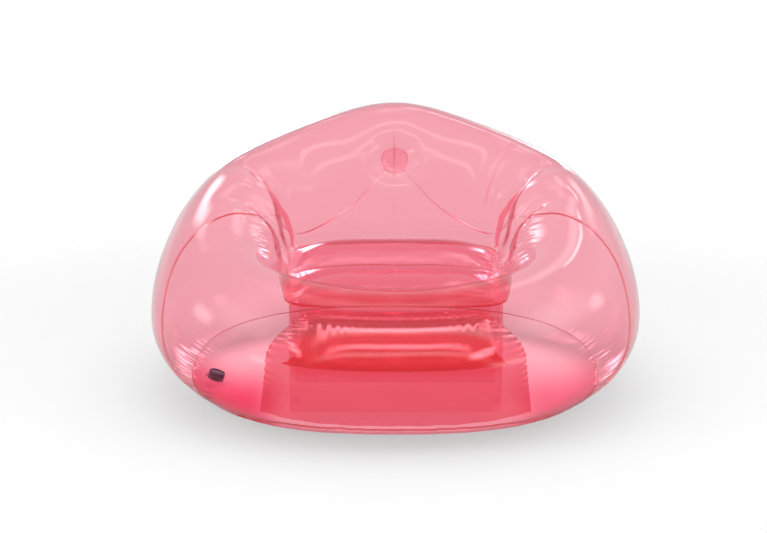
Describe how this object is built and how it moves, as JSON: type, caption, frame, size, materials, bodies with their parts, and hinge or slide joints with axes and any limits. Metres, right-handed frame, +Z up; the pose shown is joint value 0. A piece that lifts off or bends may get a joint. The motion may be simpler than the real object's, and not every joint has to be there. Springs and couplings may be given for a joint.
{
  "type": "inflatable bean bag chair",
  "caption": "Inflatable lounge chair of clear tinted film: a round body with arms and a raised backrest round a seat well, with webs inside and a plug valve.",
  "frame": {"origin": "on the floor, under the middle of the chair's width and depth", "axes": "+X to the sitter's left, which is the right of the picture; -Y is the front; +Z up"},
  "size_m": [1.3692, 1.2686, 0.745],
  "materials": {
    "outer_film": "clear tinted film with a wet gloss",
    "inner_film": "deeper tinted clear film",
    "clear_plastic": "clear soft plastic",
    "valve_plastic": "dark moulded soft plastic",
    "flap_film": "milky soft film"
  },
  "bodies": {
    "chair": {"front_panel": "outer_film", "rear_left_panel": "outer_film", "rear_right_panel": "outer_film", "base_panel": "outer_film", "seat_panel": "inner_film", "seat_web_front": "inner_film", "seat_web_middle": "inner_film", "seat_web_rear": "inner_film", "inner_front_sheet": "inner_film", "front_roll_sheet": "inner_film", "web_dot_upper_left": "inner_film", "web_dot_upper_right": "inner_film", "web_dot_lower_left": "inner_film", "web_dot_lower_right": "inner_film", "back_button": "inner_film", "back_tie_strap": "clear_plastic", "valve_flange": "clear_plastic"},
    "insert": {"valve_insert": "valve_plastic", "cap_tether": "valve_plastic"},
    "cap": {"valve_cap": "valve_plastic"},
    "flap": {"valve_flap": "flap_film"}
  },
  "joints": [
    {"name": "insert_pull", "type": "slide", "parent": "chair", "child": "insert", "axis": [-0.3195, -0.0094, -0.9475], "range_m": [0, 0.018]},
    {"name": "cap_pull", "type": "slide", "parent": "insert", "child": "cap", "axis": [-0.3195, -0.0094, -0.9475], "range_m": [0, 0.012], "deforming": ["cap_tether"]},
    {"name": "flap_hinge", "type": "hinge", "parent": "insert", "child": "flap", "pos_m": [-0.50605, -0.07642, 0.03397], "axis": [0.9471, 0.028, -0.3197], "range_deg": [0, 60]}
  ]
}
